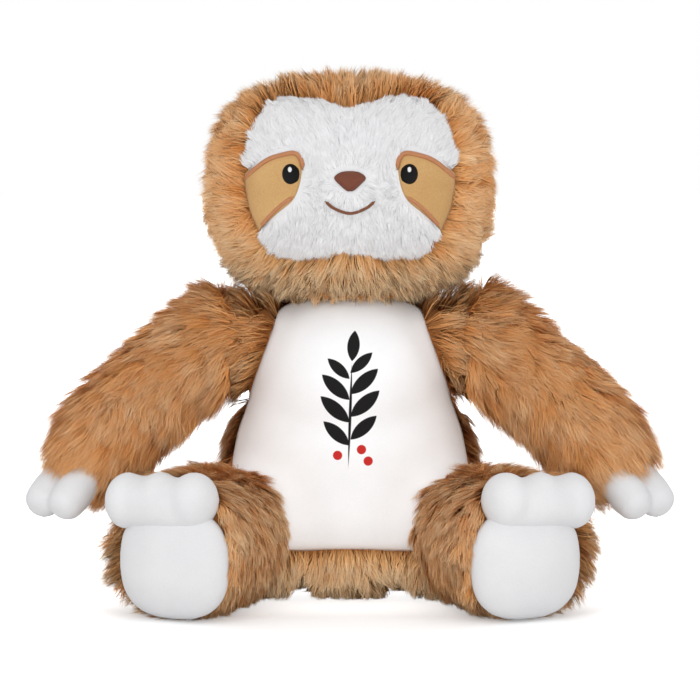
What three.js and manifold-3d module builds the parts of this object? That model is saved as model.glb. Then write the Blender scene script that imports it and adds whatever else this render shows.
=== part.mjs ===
// A seated plush sloth, 273 mm tall, in millimetres.
// It faces -Y, its own left side is +X, and +Z is up. The origin is on the floor, in the middle of the
// flat base. Fur is drawn as a cover as thick as its pile, over a stuffed core.
import * as THREE from "three";
import { mergeVertices } from "three/addons/utils/BufferGeometryUtils.js";
import Module from "manifold-3d";

const wasm = await Module();
wasm.setup();

// Cloth thicknesses and clearances
const furPile = 8;
const faceNap = 5;
const suedeThickness = 2.2;
const velourThickness = 1.8;
const stitchThickness = 0.7;
const eyeThickness = 1.1;
const glintThickness = 0.4;
const noseThickness = 2.4;
const fitGap = 0.3;
const jointGap = 1.2;
const cutReach = 400;
const mergeTolerance = 0.0001;

// Torso: a pear that stands on a flat base
const torsoHalfWidth = 72;
const torsoHalfDepth = 61;
const torsoHeight = 158;
const torsoProfileShares = [
  [0.62, 0], [0.9, 0.08], [1, 0.28], [0.98, 0.52], [0.85, 0.68], [0.68, 0.83], [0.36, 0.95],
];
const baseSeamHeight = 27;

// White front panel, widest at the belly
const tummyHalfWidth = 66;
const tummyTop = 168;
const tummyShares = [
  [0, 0], [0.62, 0], [0.84, 0.1], [0.97, 0.24], [1, 0.39], [0.92, 0.52], [0.82, 0.63], [0.66, 0.82],
  [0.52, 0.96], [0, 1],
];

// Round shoulders of the torso
const shoulderX = 43;
const shoulderHeight = 132;
const shoulderRadius = 30;

// Neck: a round top of the torso that the hollow underside of the head sits on
const neckY = -2;
const neckDrop = 20;
const neckHeight = shoulderHeight - neckDrop;
const neckRadius = 58;
const neckSeamThickness = 3.4;
const neckSeamInner = 19;
const neckSeamOuter = 32;

// Head: a wide cushion with squared shoulders
const headHalfWidth = 75.5;
const headHalfDepth = 60;
const headHalfHeight = 56;
const headY = -8;
const headRise = 105.5;
const headHeight = neckHeight + headRise;
const headSquarenessShare = 2.8;

// White face, seen from the front
const faceHalfWidth = 56;
const faceHalfHeight = 40.5;
const faceRise = 5;
const faceHeight = headHeight + faceRise;
const faceShares = [
  [0, 0.9], [0.3, 1], [0.62, 1.02], [0.88, 0.84], [1, 0.28], [0.95, -0.22], [0.84, -0.66], [0.7, -0.92],
  [0.35, -1], [0, -0.93],
];

// Suede patches round the eyes, and the satin stitch along their two long edges
const patchX = 40;
const patchDrop = 4.5;
const patchHeight = faceHeight - patchDrop;
const patchHalfWidth = 19;
const patchHalfHeight = 20;
const patchShares = [
  [-0.79, 0.5], [-0.6, 0.98], [0.1, 0.82], [0.9, 0.32], [1.3, -0.1], [0.6, -1.2], [0.3, -0.98],
  [-0.1, -0.64], [-0.6, -0.2],
];
const stitchHalfWidth = 1.2;
const upperStitchShares = [[-0.52, 0.93], [-0.2, 0.88], [0.15, 0.76], [0.5, 0.52], [0.78, 0.26]];
const lowerStitchShares = [[-0.5, -0.2], [-0.25, -0.38], [0, -0.6], [0.2, -0.8], [0.34, -0.94]];

// Embroidered eyes, nose and smile
const eyeX = 30.9;
const eyeRise = 3.5;
const eyeHeight = faceHeight + eyeRise;
const eyeHalfWidth = 4.8;
const eyeHalfHeight = 5.9;
const glintX = 0.6;
const glintHeight = 2.9;
const glintRadius = 1.2;
const noseHeight = faceHeight;
const noseHalfWidth = 8.2;
const noseHalfHeight = 5.2;
const noseShares = [[0, 1], [0.62, 0.86], [1, 0.3], [0.62, -0.42], [0.22, -0.95], [0, -1]];
const mouthDrop = 13.5;
const mouthHeight = noseHeight - mouthDrop;
const mouthHalfWidth = 13;
const mouthHalfHeight = 3.2;
const mouthLineHalfWidth = 0.8;
const mouthShares = [[-1, 1], [-0.62, -0.2], [0, -1], [0.62, -0.2], [1, 1]];

// Arms: bent tubes that sit on the shoulders
const armStartRise = 15;
const armBendRise = 10;
const armEndDrop = 62;
const armStart = new THREE.Vector3(34, 0, shoulderHeight + armStartRise);
const armBend = new THREE.Vector3(86, -4, shoulderHeight + armBendRise);
const armEnd = new THREE.Vector3(142, -48, shoulderHeight - armEndDrop);
const armRadius = 28;
const armShares = [[0.84, 0], [1, 0.35], [1.03, 0.86], [0.86, 0.98]];

// Hands: a ball at the wrist, and two long fingers side by side
const wristInset = 4;
const wristRadius = 15.5;
const gloveMouthShare = 0.8;
const fingerRadius = 10.4;
const fingerStart = 6.2;
const fingerLength = 30;
const fingerSpread = 8.2;
const fingerShares = [[0.6, 0], [0.95, 0.2], [1, 0.6], [0.84, 0.88], [0.5, 0.99]];
const handReach = new THREE.Vector3(20, -26, -24);

// Legs: short wide tubes in front of round hips
const hipX = 52;
const hipY = -24;
const hipRadius = 42;
const legHalfHeight = 38.5;
const legFlat = 0.5;
const legHalfWidthShare = 0.94;
const legLength = 90;
const legSplay = 25;
const legShares = [[0.62, 0], [0.92, 0.08], [1.02, 0.45], [1.04, 0.88], [0.86, 1]];
const crotchRadius = 36;
const crotchReach = 26;

// Feet: a round sole, and above it a broad mitt with three toe bumps
const footInset = 2;
const footReach = legLength - footInset;
const soleHalfWidth = 29.5;
const soleHalfHeight = 27;
const soleHalfDepth = 15;
const soleHeight = 28.5;
const toeCreaseHeight = 48.5;
const toeHeight = 61;
const toeShift = 8;
const toeSpread = 18.5;
const toeHalfWidth = 13.5;
const toeHalfHeight = 16;
const toeHalfDepth = 16;
const toeRootHeight = 58;
const toeRootHalfWidth = 30;
const toeRootHalfHeight = 17;
const toeRootHalfDepth = 17;

// Mesh fineness. What the covers hide has half as many faces round and along, at the same places
const headSegments = 20;
const torsoSegments = 16;
const limbSegments = 12;
const ballSegments = 16;
const eggSegments = 8;
const fingerSegments = 8;
const coarseShare = 0.5;
const bandSteps = 5;
const outlineSteps = 20;
const ovalSteps = 10;

// Finishes
const furFinish = { color: 0xbe915f, roughness: 0.95, metalness: 0 };
const whiteFurFinish = { color: 0xf4f2f0, roughness: 0.92, metalness: 0 };
const velourFinish = { color: 0xf0eff0, roughness: 0.85, metalness: 0 };
const suedeFinish = { color: 0xc9955c, roughness: 0.9, metalness: 0 };
const brownThreadFinish = { color: 0x7a4328, roughness: 0.55, metalness: 0 };
const blackThreadFinish = { color: 0x17140f, roughness: 0.45, metalness: 0 };
const whiteThreadFinish = { color: 0xf8f8f8, roughness: 0.4, metalness: 0 };
const stuffingFinish = { color: 0xfafafa, roughness: 1, metalness: 0 };
const seamFinish = { color: 0x9a6f45, roughness: 0.9, metalness: 0 };

// Solids from three.js geometry

function solidOf(geometry) {
  const bare = geometry.clone();
  bare.deleteAttribute("normal");
  bare.deleteAttribute("uv");
  const merged = mergeVertices(bare, mergeTolerance);
  const corners = merged.index.array;
  const kept = [];
  for (let first = 0; first < corners.length; first += 3) {
    const [a, b, c] = corners.slice(first, first + 3);
    if (a !== b && b !== c && c !== a) kept.push(a, b, c);
  }
  const vertProperties = new Float32Array(merged.attributes.position.array);
  const triVerts = new Uint32Array(kept);
  return new wasm.Manifold(new wasm.Mesh({ numProp: 3, vertProperties, triVerts }));
}

function meshOf(name, solid, finish) {
  const cut = solid.getMesh();
  const geometry = new THREE.BufferGeometry();
  geometry.setAttribute("position", new THREE.BufferAttribute(cut.vertProperties, 3));
  geometry.setIndex(new THREE.BufferAttribute(cut.triVerts, 1));
  geometry.computeVertexNormals();
  const mesh = new THREE.Mesh(geometry, new THREE.MeshStandardMaterial(finish));
  mesh.name = name;
  return mesh;
}

function union(solids) {
  return solids.reduce((whole, solid) => whole.add(solid));
}

// A closed profile from the lower end of an axis to its upper end, moved inwards by inset
function insetProfile(points, inset) {
  const last = points.length - 1;
  return points.map((point, index) => {
    const along = new THREE.Vector2(index === 0 ? 1 : -1, 0);
    if (index > 0 && index < last) along.subVectors(points[index + 1], points[index - 1]).normalize();
    return new THREE.Vector2(Math.max(point.x - along.y * inset, 0), point.y + along.x * inset);
  });
}

function turnedGeometry(shares, radius, length, inset, segments, coarse) {
  const kept = coarse ? shares.filter((share, index) => index % 2 === 0) : shares;
  const inner = kept.map(([across, along]) => new THREE.Vector2(across * radius, along * length));
  const points = [new THREE.Vector2(0, 0), ...inner, new THREE.Vector2(0, length)];
  return new THREE.LatheGeometry(insetProfile(points, inset), coarse ? segments * coarseShare : segments);
}

// A round solid about Y, set on a centre with its poles on an axis
function roundSolid(geometry, centre, axis) {
  const turn = new THREE.Quaternion().setFromUnitVectors(new THREE.Vector3(0, 1, 0), axis);
  return solidOf(geometry.applyQuaternion(turn).translate(centre.x, centre.y, centre.z));
}

function ballSolid(centre, radius, axis, segments = ballSegments) {
  return roundSolid(new THREE.SphereGeometry(radius, segments, segments / 2), centre, axis);
}

// The hollow that a ball turns in about its poles: its flat faces clear the ball's corners by the fit gap
function socketSolid(centre, radius, axis, segments = ballSegments) {
  const geometry = new THREE.SphereGeometry(radius + fitGap, segments, segments / 2);
  const halfStep = Math.PI / segments;
  geometry.rotateY(halfStep).scale(1 / Math.cos(halfStep), 1, 1 / Math.cos(halfStep));
  return roundSolid(geometry, centre, axis);
}

function eggGeometry(halfWidth, halfDepth, halfHeight) {
  const geometry = new THREE.SphereGeometry(1, eggSegments, eggSegments / 2);
  geometry.rotateX(Math.PI / 2);
  return geometry.scale(halfWidth, halfDepth, halfHeight);
}

// A box that fills all space on one side of a plane x, y or z = level
function halfSpace(axis, level, side) {
  const geometry = new THREE.BoxGeometry(cutReach * 2, cutReach * 2, cutReach * 2);
  const offset = new THREE.Vector3();
  offset[axis] = level + side * cutReach;
  return solidOf(geometry.translate(offset.x, offset.y, offset.z));
}

// Maps a geometry turned about Y onto a curve that its axis follows
function alongCurve(geometry, curve, length) {
  const place = geometry.attributes.position;
  const up = new THREE.Vector3(0, 1, 0);
  const turn = new THREE.Quaternion();
  const across = new THREE.Vector3();
  for (let index = 0; index < place.count; index += 1) {
    const travelled = place.getY(index);
    const share = THREE.MathUtils.clamp(travelled / length, 0, 1);
    const tangent = curve.getTangentAt(share);
    turn.setFromUnitVectors(up, tangent);
    across.set(place.getX(index), 0, place.getZ(index)).applyQuaternion(turn);
    across.add(curve.getPointAt(share)).addScaledVector(tangent, travelled - share * length);
    place.setXYZ(index, across.x, across.y, across.z);
  }
  return geometry;
}

// Outlines seen from the front, pushed back through the front half of the toy

function frontPrism(shape) {
  const geometry = new THREE.ExtrudeGeometry(shape, { depth: cutReach, bevelEnabled: false });
  return solidOf(geometry.rotateX(Math.PI / 2));
}

function splineShape(points) {
  const outline = new THREE.SplineCurve([...points, points[0]]);
  return new THREE.Shape(outline.getPoints(outlineSteps).slice(0, -1));
}

// A closed outline from its right half, mirrored about x = 0
function mirroredShape(halfShares, halfWidth, low, height) {
  const place = ([across, up]) => new THREE.Vector2(across * halfWidth, low + up * height);
  const right = halfShares.map(place);
  const left = right.slice(1, -1).reverse().map((point) => new THREE.Vector2(-point.x, point.y));
  return splineShape([...right, ...left]);
}

function shareShape(shares, x, z, halfWidth, halfHeight) {
  const place = ([across, up]) => new THREE.Vector2(x + across * halfWidth, z + up * halfHeight);
  return splineShape(shares.map(place));
}

function ovalShape(x, z, halfWidth, halfHeight) {
  const shape = new THREE.Shape();
  shape.absellipse(x, z, halfWidth, halfHeight, 0, Math.PI * 2);
  return new THREE.Shape(shape.getPoints(ovalSteps / 2).slice(0, -1));
}

// A band of even width along a curve through points
function bandShape(points, halfWidth) {
  const middle = new THREE.SplineCurve(points);
  const left = [];
  const right = [];
  for (let step = 0; step <= bandSteps; step += 1) {
    const point = middle.getPoint(step / bandSteps);
    const tangent = middle.getTangent(step / bandSteps);
    const side = new THREE.Vector2(-tangent.y, tangent.x).multiplyScalar(halfWidth);
    left.push(point.clone().add(side));
    right.push(point.clone().sub(side));
  }
  return new THREE.Shape([...left, ...right.reverse()]);
}

// Forms of the body, each drawn inset from the outside of its fur

const sideways = new THREE.Vector3(1, 0, 0);
const upright = new THREE.Vector3(0, 0, 1);

// Mirrors a solid of the left side for the right side
function onSide(side, solid) {
  return side > 0 ? solid : solid.mirror([1, 0, 0]);
}

function bothSides(solid) {
  return solid.add(solid.mirror([1, 0, 0]));
}

function neckCentre() {
  return new THREE.Vector3(0, neckY, neckHeight);
}

function shoulderCentre() {
  return new THREE.Vector3(shoulderX, 0, shoulderHeight);
}

function hipCentre() {
  return new THREE.Vector3(hipX, hipY, legHalfHeight - legFlat);
}

function hipAxis() {
  return new THREE.Vector3(1, 0, 0).applyAxisAngle(upright, THREE.MathUtils.degToRad(legSplay));
}

function legPoint(reach, height) {
  const axis = hipAxis().cross(upright);
  return hipCentre().addScaledVector(axis, reach).setZ(height);
}

function trunkForm(inset, coarse = false) {
  const [shares, segments] = [torsoProfileShares, torsoSegments];
  const pear = turnedGeometry(shares, torsoHalfWidth, torsoHeight, inset, segments, coarse);
  pear.rotateX(Math.PI / 2).scale(1, torsoHalfDepth / torsoHalfWidth, 1);
  const share = coarse ? coarseShare : 1;
  const dome = ballSolid(neckCentre(), neckRadius - inset, upright, ballSegments * share);
  const shoulder = ballSolid(shoulderCentre(), shoulderRadius - inset, sideways, limbSegments * share);
  return union([solidOf(pear), dome, bothSides(shoulder)]).intersect(halfSpace("z", inset, 1));
}

function hipForm(inset, coarse = false) {
  const share = coarse ? coarseShare : 1;
  const hips = bothSides(ballSolid(hipCentre(), hipRadius - inset, hipAxis(), ballSegments * share));
  return hips.intersect(halfSpace("z", inset, 1));
}

function torsoForm(inset, coarse = false) {
  return trunkForm(inset, coarse).add(hipForm(inset, coarse));
}

function headForm(inset, coarse = false) {
  const segments = coarse ? headSegments * coarseShare : headSegments;
  const geometry = new THREE.SphereGeometry(1, segments, segments / 2);
  geometry.rotateX(Math.PI / 2);
  const place = geometry.attributes.position;
  for (let index = 0; index < place.count; index += 1) {
    const [x, y, z] = [place.getX(index), place.getY(index), place.getZ(index)];
    const across = Math.abs(x) ** headSquarenessShare + Math.abs(z) ** headSquarenessShare;
    const size = Math.hypot(across ** (1 / headSquarenessShare), y);
    place.setXYZ(index, x / size, y / size, z / size);
  }
  geometry.scale(headHalfWidth - inset, headHalfDepth - inset, headHalfHeight - inset);
  return solidOf(geometry.translate(0, headY, headHeight));
}

function armCurve() {
  return new THREE.QuadraticBezierCurve3(armStart, armBend, armEnd);
}

function armForm(inset) {
  const length = armCurve().getLength();
  const tube = turnedGeometry(armShares, armRadius, length, inset, limbSegments, inset > 0);
  return solidOf(alongCurve(tube, armCurve(), length));
}

function wristCentre() {
  return armCurve().getPointAt(1 - wristInset / armCurve().getLength());
}

function handDirection() {
  return handReach.clone().normalize();
}

function handAxis() {
  return upright.clone().cross(handReach).normalize();
}

function handForm(inset) {
  const coarse = inset > 0;
  const segments = coarse ? limbSegments * coarseShare : limbSegments;
  const parts = [ballSolid(wristCentre(), wristRadius - inset, handAxis(), segments)];
  for (const finger of [-1, 1]) {
    const start = wristCentre().addScaledVector(handAxis(), finger * fingerSpread);
    start.addScaledVector(handDirection(), fingerStart);
    const end = start.clone().addScaledVector(handDirection(), fingerLength);
    const line = new THREE.LineCurve3(start, end);
    const round = [fingerShares, fingerRadius, fingerLength, inset, fingerSegments, coarse];
    parts.push(solidOf(alongCurve(turnedGeometry(...round), line, fingerLength)));
  }
  return union(parts);
}

function legForm(inset) {
  const tube = turnedGeometry(legShares, legHalfHeight, legLength, inset, limbSegments, inset > 0);
  tube.scale(legHalfWidthShare, 1, 1);
  const curve = new THREE.LineCurve3(hipCentre(), legPoint(legLength, hipCentre().z));
  return solidOf(alongCurve(tube, curve, legLength)).intersect(halfSpace("z", inset, 1));
}

function footForm(inset) {
  const splay = THREE.MathUtils.degToRad(legSplay);
  const eggAt = (across, height, halfWidth, halfDepth, halfHeight) => {
    const egg = eggGeometry(halfWidth - inset, halfDepth - inset, halfHeight - inset);
    const place = legPoint(footReach, height);
    return solidOf(egg.translate(across, 0, 0).rotateZ(splay).translate(place.x, place.y, place.z));
  };
  const toeAt = (across) => eggAt(toeShift + across, toeHeight, toeHalfWidth, toeHalfDepth, toeHalfHeight);
  const root = eggAt(toeShift, toeRootHeight, toeRootHalfWidth, toeRootHalfDepth, toeRootHalfHeight);
  const sole = eggAt(0, soleHeight, soleHalfWidth, soleHalfDepth, soleHalfHeight);
  return union([sole, root, toeAt(-toeSpread), toeAt(0), toeAt(toeSpread)]);
}

// Torso

const torsoCore = torsoForm(furPile, true);

function tummyPrism(gap) {
  const height = tummyTop - baseSeamHeight + gap * 2;
  return frontPrism(mirroredShape(tummyShares, tummyHalfWidth + gap, baseSeamHeight - gap, height));
}

function torsoPieces() {
  const fur = torsoForm(0).subtract(torsoCore);
  const upper = fur.intersect(halfSpace("z", baseSeamHeight, 1));
  const furred = upper.subtract(tummyPrism(fitGap).subtract(hipForm(0)));
  const sheet = trunkForm(furPile - velourThickness).subtract(trunkForm(furPile, true));
  const front = tummyPrism(0).intersect(halfSpace("z", baseSeamHeight, 1));
  const panel = sheet.intersect(front).subtract(hipForm(-fitGap));
  return [
    meshOf("tummy_panel", panel, velourFinish),
    meshOf("body_cover_left", furred.intersect(halfSpace("x", fitGap / 2, 1)), furFinish),
    meshOf("body_cover_right", furred.intersect(halfSpace("x", -fitGap / 2, -1)), furFinish),
    meshOf("base_cover", fur.intersect(halfSpace("z", baseSeamHeight - fitGap, -1)), furFinish),
    meshOf("body_stuffing", torsoForm(furPile + fitGap, true), stuffingFinish),
  ];
}

// Neck and head

const neckSeamRadius = neckRadius + fitGap + neckSeamThickness;

// A thin band of a ball between two distances from its upright axis
function neckPieces() {
  const outside = ballSolid(neckCentre(), neckSeamRadius, sideways);
  const band = outside.subtract(socketSolid(neckCentre(), neckRadius, upright));
  const wide = new THREE.CylinderGeometry(neckSeamOuter, neckSeamOuter, neckRadius, ballSegments);
  const narrow = new THREE.CylinderGeometry(neckSeamInner, neckSeamInner, neckRadius, ballSegments);
  wide.rotateX(Math.PI / 2).translate(0, neckY, neckHeight + neckRadius);
  narrow.rotateX(Math.PI / 2).translate(0, neckY, neckHeight + neckRadius);
  return [meshOf("neck_seam", band.intersect(solidOf(wide)).subtract(solidOf(narrow)), seamFinish)];
}

const headHollow = socketSolid(neckCentre(), neckSeamRadius, sideways);

function facePrism(gap) {
  return frontPrism(mirroredShape(faceShares, faceHalfWidth + gap, faceHeight, faceHalfHeight + gap));
}

function patchPrism(gap) {
  const wide = patchHalfWidth + gap;
  return frontPrism(shareShape(patchShares, patchX, patchHeight, wide, patchHalfHeight + gap));
}

// A sheet of the given thickness whose inner side lies at a depth under the outside of the head's fur
function headSheet(depth, thickness) {
  return headForm(depth - thickness).subtract(headForm(depth));
}

function headPieces() {
  const fur = headForm(0).subtract(headForm(furPile, true)).subtract(headHollow);
  const furred = fur.subtract(facePrism(fitGap));
  const patches = patchPrism(fitGap).add(stitchPrism(upperStitchShares, fitGap));
  const face = headSheet(furPile, faceNap).intersect(facePrism(0)).subtract(bothSides(patches));
  return [
    meshOf("head_cover_left", furred.intersect(halfSpace("x", fitGap / 2, 1)), furFinish),
    meshOf("head_cover_right", furred.intersect(halfSpace("x", -fitGap / 2, -1)), furFinish),
    meshOf("face_panel", face, whiteFurFinish),
    meshOf("head_stuffing", headForm(furPile + fitGap, true).subtract(headHollow), stuffingFinish),
    ...eyePieces(1, "left"),
    ...eyePieces(-1, "right"),
    ...muzzlePieces(),
  ];
}

function stitchPrism(shares, gap = 0) {
  const points = shares.map(([across, up]) => new THREE.Vector2(
    patchX + across * patchHalfWidth, patchHeight + up * patchHalfHeight));
  return frontPrism(bandShape(points, stitchHalfWidth + gap));
}

function eyePieces(side, name) {
  const patch = headSheet(furPile, suedeThickness).intersect(patchPrism(0)).intersect(facePrism(0));
  const onPatch = furPile - suedeThickness - fitGap;
  const onEye = onPatch - eyeThickness - fitGap;
  const threads = headSheet(onPatch, stitchThickness);
  const oval = frontPrism(ovalShape(eyeX, eyeHeight, eyeHalfWidth, eyeHalfHeight));
  const eye = headSheet(onPatch, eyeThickness).intersect(oval);
  const [shineX, shineHeight] = [side * eyeX + glintX, eyeHeight + glintHeight];
  const shine = frontPrism(ovalShape(shineX, shineHeight, glintRadius, glintRadius));
  const upper = threads.intersect(stitchPrism(upperStitchShares));
  const lower = threads.intersect(stitchPrism(lowerStitchShares));
  return [
    meshOf(`eye_patch_${name}`, onSide(side, patch), suedeFinish),
    meshOf(`patch_stitch_upper_${name}`, onSide(side, upper), brownThreadFinish),
    meshOf(`patch_stitch_lower_${name}`, onSide(side, lower), brownThreadFinish),
    meshOf(`eye_${name}`, onSide(side, eye), blackThreadFinish),
    meshOf(`eye_glint_${name}`, headSheet(onEye, glintThickness).intersect(shine), whiteThreadFinish),
  ];
}

function muzzlePieces() {
  const onFace = furPile - faceNap - fitGap;
  const nose = frontPrism(mirroredShape(noseShares, noseHalfWidth, noseHeight, noseHalfHeight));
  const points = mouthShares.map(([across, up]) => new THREE.Vector2(
    across * mouthHalfWidth, mouthHeight + up * mouthHalfHeight));
  const smile = frontPrism(bandShape(points, mouthLineHalfWidth));
  return [
    meshOf("nose", headSheet(onFace, noseThickness).intersect(nose), brownThreadFinish),
    meshOf("mouth", headSheet(onFace, stitchThickness).intersect(smile), brownThreadFinish),
  ];
}

// Arms and hands

// All that the torso fills as an arm swings: its outline turned about the shoulder, and the shoulder
function shoulderRoom() {
  const outline = [];
  for (const [across, up] of torsoProfileShares) {
    const drop = shoulderHeight - up * torsoHeight;
    if (drop > shoulderHeight - neckHeight) {
      outline.push(new THREE.Vector2(drop, across * torsoHalfWidth + jointGap));
    }
  }
  const neck = new THREE.Vector2(shoulderHeight - neckHeight, neckRadius + jointGap * 2);
  const points = [new THREE.Vector2(0, 0), new THREE.Vector2(outline[0].x, 0), ...outline, neck];
  const bowl = new THREE.LatheGeometry([...points, new THREE.Vector2(0, neck.y)], limbSegments);
  bowl.rotateZ(-Math.PI / 2).translate(0, 0, shoulderHeight);
  return solidOf(bowl).add(socketSolid(shoulderCentre(), shoulderRadius, sideways, limbSegments));
}

function armPieces(side, name) {
  const socket = socketSolid(wristCentre(), wristRadius, handAxis(), limbSegments);
  const taken = socket.add(shoulderRoom()).add(headForm(-jointGap)).add(legForm(-jointGap));
  const cover = armForm(0).subtract(armForm(furPile)).subtract(taken);
  const stuffing = armForm(furPile + fitGap).subtract(taken);
  const behind = wristCentre().addScaledVector(handDirection(), -wristRadius);
  const opening = ballSolid(behind, wristRadius * gloveMouthShare, handAxis(), fingerSegments);
  const glove = handForm(0).subtract(handForm(velourThickness)).subtract(opening);
  return [
    meshOf(`arm_cover_${name}`, onSide(side, cover), furFinish),
    meshOf(`arm_stuffing_${name}`, onSide(side, stuffing), stuffingFinish),
    meshOf(`hand_${name}`, onSide(side, glove), velourFinish),
    meshOf(`hand_stuffing_${name}`, onSide(side, handForm(velourThickness + fitGap)), stuffingFinish),
  ];
}

// Legs and feet

// All that the torso fills as a leg swings: the round hip, and a drum on the same axis towards the crotch
function hipRoom() {
  const length = hipRadius * 2;
  const drum = new THREE.CylinderGeometry(crotchRadius, crotchRadius, length, fingerSegments);
  drum.rotateZ(Math.PI / 2).translate(-crotchReach - length / 2, 0, 0);
  drum.rotateZ(THREE.MathUtils.degToRad(legSplay)).translate(...hipCentre().toArray());
  return solidOf(drum).add(socketSolid(hipCentre(), hipRadius, hipAxis()));
}

function legPieces(side, name) {
  const core = legForm(furPile);
  const taken = hipRoom().add(trunkForm(-jointGap));
  const cover = legForm(0).subtract(core).subtract(footForm(-fitGap)).subtract(taken);
  const pad = footForm(0).intersect(halfSpace("z", 0, 1));
  const filling = legForm(furPile + fitGap).subtract(footForm(-fitGap)).subtract(taken);
  const sole = pad.intersect(halfSpace("z", toeCreaseHeight, -1));
  const toes = pad.intersect(halfSpace("z", toeCreaseHeight + fitGap, 1));
  return [
    meshOf(`leg_cover_${name}`, onSide(side, cover), furFinish),
    meshOf(`leg_stuffing_${name}`, onSide(side, filling), stuffingFinish),
    meshOf(`sole_${name}`, onSide(side, sole), velourFinish),
    meshOf(`toes_${name}`, onSide(side, toes), velourFinish),
  ];
}

const group = new THREE.Group();
group.add(...torsoPieces(), ...neckPieces(), ...headPieces());
group.add(...armPieces(1, "left"), ...armPieces(-1, "right"));
group.add(...legPieces(1, "left"), ...legPieces(-1, "right"));
export default group;
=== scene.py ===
# %% [markdown]
# # A plush sloth, dressed around its CAD frame
# The CAD model gives the sizes, the bodies and the seams that flop. Here each stuffed form gets a cloth
# skin, each fur part gets its own locks of pile, and the embroidery gets its thread. The script runs from
# top to bottom in one go, and every piece ends up in metres, where the CAD says.

# %% Load the frame
import math

import bpy
import numpy as np
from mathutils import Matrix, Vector, noise
from mathutils.bvhtree import BVHTree
from mathutils.kdtree import KDTree


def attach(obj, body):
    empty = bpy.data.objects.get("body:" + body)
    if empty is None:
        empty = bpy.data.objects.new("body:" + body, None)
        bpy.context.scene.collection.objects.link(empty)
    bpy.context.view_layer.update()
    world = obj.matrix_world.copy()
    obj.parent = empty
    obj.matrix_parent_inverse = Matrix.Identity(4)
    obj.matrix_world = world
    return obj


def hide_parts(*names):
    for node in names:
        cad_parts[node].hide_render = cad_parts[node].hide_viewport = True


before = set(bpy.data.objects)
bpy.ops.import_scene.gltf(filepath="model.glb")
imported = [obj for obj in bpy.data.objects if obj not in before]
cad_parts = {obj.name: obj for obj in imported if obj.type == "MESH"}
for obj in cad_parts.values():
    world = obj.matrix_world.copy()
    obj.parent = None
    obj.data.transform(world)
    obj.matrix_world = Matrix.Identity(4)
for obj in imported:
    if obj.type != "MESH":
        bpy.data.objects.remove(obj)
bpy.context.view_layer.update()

mm = 0.001

# %% [markdown]
# ## Small hand tools
# Operators act on whatever is selected, so each helper here first makes one object the only selected and
# active one. A finished piece has its place in its mesh, with its object at the origin, as the CAD has.

# %% Select, apply and join
def only(piece):
    bpy.ops.object.select_all(action="DESELECT")
    piece.select_set(True)
    bpy.context.view_layer.objects.active = piece
    return piece


def put_in_scene(name, data):
    piece = bpy.data.objects.new(name, data)
    bpy.context.collection.objects.link(piece)
    return piece


def set_down(piece):
    only(piece)
    bpy.ops.object.transform_apply(location=True, rotation=True, scale=True)
    return piece


def modify(piece, kind, **settings):
    only(piece)
    modifier = piece.modifiers.new(kind.lower(), kind)
    for name, value in settings.items():
        setattr(modifier, name, value)
    bpy.ops.object.modifier_apply(modifier=modifier.name)
    return piece


def join(name, pieces):
    for piece in pieces:
        set_down(piece)
    bpy.ops.object.select_all(action="DESELECT")
    for piece in pieces:
        piece.select_set(True)
    bpy.context.view_layer.objects.active = pieces[0]
    if len(pieces) > 1:
        bpy.ops.object.join()
    joined = bpy.context.view_layer.objects.active
    joined.name = joined.data.name = name
    return joined


# %% [markdown]
# Much of the work here is done on all points of a mesh at once. `foreach_get` and `foreach_set` copy them
# into an array and back, which is many times quicker than a loop over the points.

# %% Read and move points
def places(piece):
    flat = np.zeros(len(piece.data.vertices) * 3)
    piece.data.vertices.foreach_get("co", flat)
    return flat.reshape(-1, 3)


def move_to(piece, points):
    piece.data.vertices.foreach_set("co", np.asarray(points, float).ravel())
    piece.data.update()
    return piece


def unit(vectors):
    size = np.linalg.norm(vectors, axis=-1, keepdims=True)
    return vectors / np.maximum(size, 1e-9)


# %% [markdown]
# ## Sizes that the looks share with the CAD
# These are the forms of the CAD source, in metres. The long fur stands 8 mm deep over the cloth, so a cloth
# skin lies 8 mm inside the form, and the fur grows back out to it.

# %% Name the forms
pile_depth = 8 * mm
left, right = 1, -1

torso_half_width, torso_half_depth, torso_height = 72 * mm, 61 * mm, 158 * mm
torso_outline = [(0.62, 0), (0.9, 0.08), (1, 0.28), (0.98, 0.52), (0.85, 0.68), (0.68, 0.83), (0.36, 0.95)]
ground_gap = 4 * mm
neck = Vector((0, -2, 112)) * mm
neck_radius = 58 * mm
shoulder = Vector((43, 0, 132)) * mm
shoulder_radius = 30 * mm
hip = Vector((52, -24, 38)) * mm
hip_radius = 42 * mm
leg_radius, leg_length = 38 * mm, 90 * mm
leg_splay = math.radians(25)
leg_way = Vector((math.sin(leg_splay), -math.cos(leg_splay), 0))
leg_across = Vector((math.cos(leg_splay), math.sin(leg_splay), 0))

head_half = Vector((75.5, 60, 56)) * mm
head_middle = Vector((0, -8, 217.5)) * mm
head_squareness = 2.8

arm_start = Vector((34, 0, 147)) * mm
arm_bend = Vector((86, -4, 142)) * mm
arm_end = Vector((142, -48, 70)) * mm
arm_radius = 28 * mm
wrist = Vector((139.78, -46.27, 72.84)) * mm
hand_way = Vector((20, -26, -24)).normalized()
hand_across = Vector((0, 0, 1)).cross(hand_way).normalized()

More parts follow.
